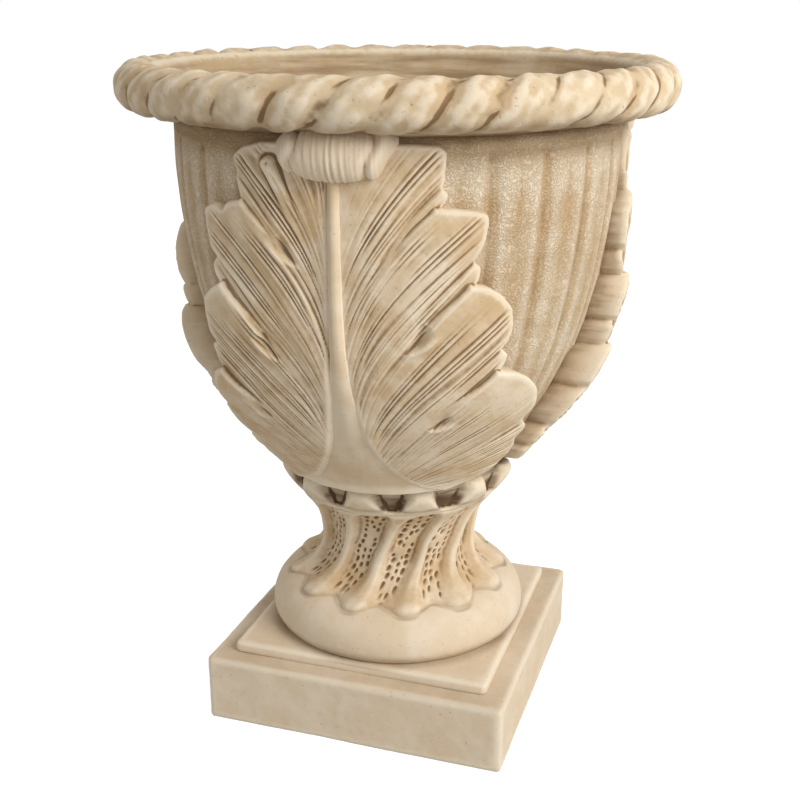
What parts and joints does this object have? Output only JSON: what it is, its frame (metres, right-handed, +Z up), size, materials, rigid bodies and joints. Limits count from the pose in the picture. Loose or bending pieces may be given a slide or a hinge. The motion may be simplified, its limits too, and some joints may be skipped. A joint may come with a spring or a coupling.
{
  "type": "flower pot",
  "caption": "Classical footed garden urn in cast stone: square plinth, twisted neck, fluted bowl with acanthus leaves, and a rope rim.",
  "frame": {"origin": "centre of the plinth's underside, on the floor", "axes": "+Z up along the urn's axis; the plinth's sides lie along X and Y; the first leaf faces the front, -Y"},
  "size_m": [0.4598, 0.4598, 0.572],
  "materials": {
    "cast_stone": "matt, warm beige with tan recesses",
    "stippled_stone": "matt, finely stippled, tan"
  },
  "bodies": {
    "root": {"plinth_slab": "cast_stone", "plinth_step": "cast_stone", "foot_cushion": "cast_stone", "twisted_neck": "cast_stone", "collar": "cast_stone", "bowl_shell": "stippled_stone", "rope_rim": "cast_stone", "leaf_1_stem": "cast_stone", "leaf_1_left_blade": "cast_stone", "leaf_1_right_blade": "cast_stone", "leaf_1_scroll": "cast_stone", "leaf_2_stem": "cast_stone", "leaf_2_left_blade": "cast_stone", "leaf_2_right_blade": "cast_stone", "leaf_2_scroll": "cast_stone", "leaf_3_stem": "cast_stone", "leaf_3_left_blade": "cast_stone", "leaf_3_right_blade": "cast_stone", "leaf_3_scroll": "cast_stone"}
  },
  "joints": []
}
